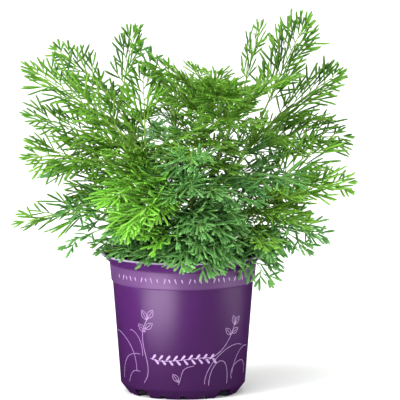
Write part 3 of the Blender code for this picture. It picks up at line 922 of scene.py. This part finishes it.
# Fronds with a fullness and a width of their own
SHAPES = {"back_right_leaf_1": (1.35, 0.86), "back_right_leaf_2": (1.15, 1.0),
          "left_leaf_2": (1.1, 0.74), "left_leaf_3": (1.0, 0.74), "left_leaf_6": (0.80, 0.9),
          "back_left_leaf_2": (0.9, 0.72), "front_left_leaf_1": (0.72, 1.0),
          "front_left_leaf_2": (0.52, 0.85), "front_left_leaf_3": (0.60, 0.9),
          "front_left_leaf_4": (0.76, 0.9)}


def nearest_on(centres, point):
    """The place on a stem's centreline nearest a point, a little below it."""
    path = smooth_line(centres, np.linspace(0.0, 1.0, 120))
    best = np.linalg.norm(path - point, axis=1).argmin()
    return path[max(best - 2, 0)]


def make_fronds(finishes):
    """A frond in place of each CAD leaf."""
    for index, (name, midrib) in enumerate(LEAVES.items()):
        stem, slot = stem_of(name), SLOTS[name]
        rng = np.random.default_rng(FROND_SEED + index)
        growth = Growth()
        tint = STEM_TINTS[stem] + rng.uniform(-0.16, 0.16)
        lush, width = SHAPES.get(name, (1.0, 1.0))
        midrib.half_width *= width
        root = nearest_on(STEMS[stem][0], midrib.at(0.0))
        Frond(growth, midrib, rng, tint, slot, lush).grow(root)
        growth.piece(name.replace("_leaf_", "_frond_"), finishes[slot], slot, name)


def arc_midrib(start, compass, rise, length, droop, roll, half_width):
    """A midrib that leaves a place this way and then droops evenly."""
    turn = (Matrix.Rotation(radians(compass), 3, "Z") @ Matrix.Rotation(-radians(rise), 3, "Y")
            @ Matrix.Rotation(radians(roll), 3, "X"))
    curve = radians(max(droop, 2.0))
    shares = np.linspace(0.0, 1.0, 9)
    flat = np.stack((np.sin(curve * shares) / curve, np.zeros_like(shares),
                     (np.cos(curve * shares) - 1) / curve), axis=1) * length
    matrix = np.array(turn)
    return Midrib(start + flat @ matrix.T, matrix @ np.array((0.0, 1.0, 0.0)), half_width)


YOUNG_COUNT = 12  # young leaves on each stem
YOUNG_LOWEST = 0.30  # the share of a stem's length where they begin
YOUNG_SPAN = 0.70  # the share that they are spread over
YOUNG_LIGHTENING = 0.24  # how much lighter they are than the stem's fronds, partly their own paler green and partly painted light against the shade inside the crown
LEAF_TURN = 137.5  # degrees round the stem from one leaf to the next


def make_young_leaves(finishes):
    """Small leaves in the axils and a tuft at each stem's tip."""
    for index, (name, (centres, _)) in enumerate(STEMS.items()):
        rng = np.random.default_rng(YOUNG_SEED + index)
        growth = Growth()
        # partly painted light: the young leaves are made lighter against the shade inside the crown
        tint = STEM_TINTS[name] + YOUNG_LIGHTENING
        compass = rng.uniform(0, 360)
        slot = "leaf_shade" if name in ("front", "low_right") else "leaf_green"
        for number in range(YOUNG_COUNT):
            share = YOUNG_LOWEST + YOUNG_SPAN * (number + 0.5) / YOUNG_COUNT
            above = share - YOUNG_LOWEST
            compass += LEAF_TURN
            start = smooth_line(centres, share)
            length = rng.uniform(26, 40) * MM * (1.0 - 0.25 * above)
            rise = 30 + 38 * above / YOUNG_SPAN + rng.uniform(-8, 8)
            midrib = arc_midrib(start, compass, rise, length, rng.uniform(10, 46),
                                rng.uniform(-20, 20), length * 0.30)
            Frond(growth, midrib, rng, tint + rng.uniform(-0.12, 0.12), slot).grow(start)
        growth.piece(name + "_young_leaves", finishes[slot], slot)


# Fans of fronds that fill the crown: the stem, the shares of its height and the compass that the
# fan runs between, how many fronds, and each one's rise, length in mm and droop
FILLERS = {
    "lower_front_fronds": ("leaf_shade", (
        ("front", 0.38, 0.56, 222, 322, 11, 12, 60, 62),
        ("front", 0.54, 0.70, 204, 330, 9, 22, 58, 74),
        ("front", 0.74, 0.96, 196, 344, 7, 38, 52, 80),
        ("front_left", 0.44, 0.72, 196, 300, 8, 22, 44, 56),
        ("left", 0.30, 0.48, 182, 216, 4, 22, 46, 50),
        ("low_right", 0.42, 0.66, 262, 340, 7, 16, 54, 56),
        ("low_right", 0.60, 0.84, 290, 334, 4, -18, 58, 44),
        ("right", 0.32, 0.44, 256, 322, 5, 20, 54, 56),
        ("centre", 0.32, 0.48, 230, 300, 4, 18, 58, 60),
    )),
    "middle_fronds": ("leaf_green", (
        ("centre", 0.46, 0.86, 210, 336, 11, 34, 58, 58),
        ("right", 0.46, 0.80, 198, 290, 6, 30, 56, 58),
        ("left", 0.62, 0.86, 212, 290, 3, 26, 56, 60),
        ("back_left", 0.56, 0.76, 236, 290, 3, 28, 58, 56),
        ("back_right", 0.54, 0.70, 272, 332, 3, 22, 60, 50),
        ("low_right", 0.66, 0.88, 282, 330, 2, 20, 56, 54),
        ("back", 0.60, 0.80, 232, 306, 4, 38, 54, 56),
    )),
    "crown_fronds": ("leaf_green", (
        ("right", 0.90, 1.00, 120, 420, 8, 62, 40, 36),
        ("back_right", 0.60, 0.98, 286, 410, 5, 42, 68, 44),
        ("centre", 0.78, 0.98, 150, 390, 6, 52, 46, 42),
        ("centre", 0.86, 0.99, 150, 300, 5, 66, 48, 30),
        ("left", 0.74, 0.98, 130, 262, 6, 44, 52, 40),
        ("back_left", 0.70, 0.96, 120, 300, 5, 46, 48, 40),
        ("low_right", 0.60, 0.96, 300, 400, 5, 36, 62, 48),
    )),
    "fresh_fronds": ("leaf_fresh", (
        ("front_left", 0.84, 1.00, 222, 290, 3, 24, 50, 84),
        ("front", 0.72, 0.90, 210, 236, 3, 12, 76, 72),
    )),
    "back_fronds": ("leaf_green", (
        ("back", 0.44, 0.58, 50, 130, 4, 16, 62, 56),
        ("back", 0.20, 0.40, 40, 140, 5, 8, 56, 50),
        ("back_right", 0.20, 0.40, 20, 80, 3, 8, 52, 50),
        ("back_left", 0.20, 0.40, 110, 170, 3, 8, 52, 50),
        ("back_left", 0.48, 0.60, 122, 196, 3, 14, 60, 54),
        ("back_right", 0.42, 0.52, 42, 76, 2, 10, 60, 54),
    )),
}
# How much lighter than its stem's other leaves each fan is. The middle and crown fans are painted
# lighter to offset the shade inside the crown
FAN_LIGHTENING = {"lower_front_fronds": 0.16, "middle_fronds": 0.74, "crown_fronds": 0.50,
                "fresh_fronds": 0.34, "back_fronds": 0.0}
GOLDEN_SHARE = 0.618  # spreads the fronds of a fan up its stem without a pattern


def make_fillers(finishes):
    """The fans of fronds, one piece for each part of the crown."""
    for index, (piece, (slot, fans)) in enumerate(FILLERS.items()):
        rng = np.random.default_rng(FILLER_SEED + index)
        growth = Growth()
        for stem, low, high, first, last, count, rise, length, droop in fans:
            for number in range(count):
                share = low + (high - low) * ((number * GOLDEN_SHARE) % 1.0)
                compass = first + (last - first) * (number + 0.5) / count + rng.uniform(-7, 7)
                start = smooth_line(STEMS[stem][0], share)
                reach = length * (1 + rng.uniform(-0.12, 0.12)) * MM
                midrib = arc_midrib(start, compass, rise + rng.uniform(-7, 7), reach,
                                    droop + rng.uniform(-10, 10), rng.uniform(-42, 42),
                                    reach * 0.36)
                # painted light: the middle and crown fans get a lighter green against the shade
                # inside the crown
                tint = STEM_TINTS[stem] + FAN_LIGHTENING[piece] + rng.uniform(-0.14, 0.14)
                Frond(growth, midrib, rng, tint, slot).grow(start)
        growth.piece(piece, finishes[slot], slot)


# ---------------------------------------------------------------- the studio

CAMERA_TARGET = (0.0124, 0.0, 0.1406)
CAMERA_RISE = 8.2  # degrees
CAMERA_DISTANCE = 5.0
SENSOR_WIDTH = 36.0  # mm
PICTURE_WIDTH = 0.2909  # what the picture spans at the target
PANEL_TARGET = (0, 0, 0.12)
GLOW_HEIGHT = 0.55


def direction(azimuth, rise):
    """The direction so many degrees round from the front and above the floor."""
    turn, up = radians(azimuth), radians(rise)
    return Vector((sin(turn) * cos(up), -cos(turn) * cos(up), sin(up)))


def looking_back(away):
    """The rotation that looks back along a direction."""
    return (-away).to_track_quat("-Z", "Y").to_euler()


def make_camera():
    """A long lens a little above the rim, as wide as the crown with a margin."""
    data = bpy.data.cameras.new("camera")
    camera = add_object("camera", data)
    away = direction(0, CAMERA_RISE)
    camera.location = Vector(CAMERA_TARGET) + away * CAMERA_DISTANCE
    camera.rotation_euler = looking_back(away)
    data.sensor_width = SENSOR_WIDTH
    data.lens = SENSOR_WIDTH * CAMERA_DISTANCE / PICTURE_WIDTH
    data.clip_start, data.clip_end = 0.1, 50.0
    bpy.context.scene.camera = camera


def panel(name, width, height, power):
    """A light of this size and so many watts."""
    data = bpy.data.lights.new(name, "AREA")
    data.shape = "RECTANGLE"
    data.size, data.size_y = width, height
    data.energy = power
    return add_object(name, data)


def softbox(name, azimuth, rise, distance, width, height, power):
    """A soft panel light aimed at the plant."""
    light = panel(name, width, height, power)
    away = direction(azimuth, rise)
    light.location = Vector(PANEL_TARGET) + away * distance
    light.rotation_euler = looking_back(away)


def floor_glow(name, azimuth, near, far, width, power):
    """A panel that lights a strip of floor for the pot's side to mirror."""
    light = panel(name, width, far - near, power)
    light.data.spread = radians(12)
    light.visible_camera = False
    reach = (near + far) / 2
    turn = radians(azimuth)
    light.location = (sin(turn) * reach, -cos(turn) * reach, GLOW_HEIGHT)
    light.rotation_euler = (0.0, 0.0, turn)


def make_surround():
    """A world that is dim near the horizon and bright overhead."""
    world = bpy.data.worlds.new("studio_surround")
    world.use_nodes = True
    nodes, links = world.node_tree.nodes, world.node_tree.links
    rise = nodes.new("ShaderNodeSeparateXYZ")
    links.new(nodes.new("ShaderNodeTexCoord").outputs["Generated"], rise.inputs[0])
    glow = nodes.new("ShaderNodeMapRange")
    links.new(rise.outputs["Z"], glow.inputs[0])
    heights, strengths = (0.10, 0.70), (0.30, 1.15)
    for socket, value in zip(list(glow.inputs)[1:5], heights + strengths):
        socket.default_value = value
    surround = nodes["Background"]
    surround.inputs["Color"].default_value = (1.0, 1.0, 1.0, 1.0)
    links.new(glow.outputs[0], surround.inputs["Strength"])
    bpy.context.scene.world = world


def make_studio():
    """A plain pale floor, a pale surround, a broad key light and two panels beside the pot."""
    bm = bmesh.new()
    bmesh.ops.create_grid(bm, x_segments=1, y_segments=1, size=9.0)
    mesh = as_mesh("studio_floor", bm)
    mesh.materials.append(paper_finish())
    add_object("studio_floor", mesh)
    make_surround()
    key = bpy.data.lights.new("key", "SUN")
    key.energy = 2.7
    key.angle = radians(60)
    add_object("key", key).rotation_euler = looking_back(direction(-32, 54))
    softbox("left_panel", -46, 16, 1.3, 0.36, 0.9, 16.0)
    softbox("right_panel", 66, 16, 1.3, 0.36, 0.9, 7.0)
    floor_glow("left_floor_glow", -36, 0.18, 0.42, 0.18, 9.0)
    floor_glow("right_floor_glow", 86, 0.19, 0.42, 0.20, 1.3)
    bpy.context.scene.view_settings.view_transform = "Standard"


LEAF_FINISHES = {
    "leaf_green": leaf_finish("leaf_green", (0.022, 0.098, 0.002), (0.085, 0.255, 0.006),
                              (0.182, 0.400, 0.040), (0.23, 0.38, 0.05)),
    "leaf_shade": leaf_finish("leaf_shade", (0.030, 0.118, 0.022), (0.088, 0.265, 0.052),
                              (0.170, 0.380, 0.105), (0.20, 0.36, 0.09)),
    "leaf_fresh": leaf_finish("leaf_fresh", (0.095, 0.330, 0.015), (0.180, 0.480, 0.032),
                              (0.270, 0.590, 0.080), (0.30, 0.52, 0.08)),
}

make_camera()
make_studio()
make_pot()
make_print()
make_soil()
make_stems(stem_finish())
make_fronds(LEAF_FINISHES)
make_young_leaves(LEAF_FINISHES)
make_fillers(LEAF_FINISHES)

bpy.context.view_layer.update()
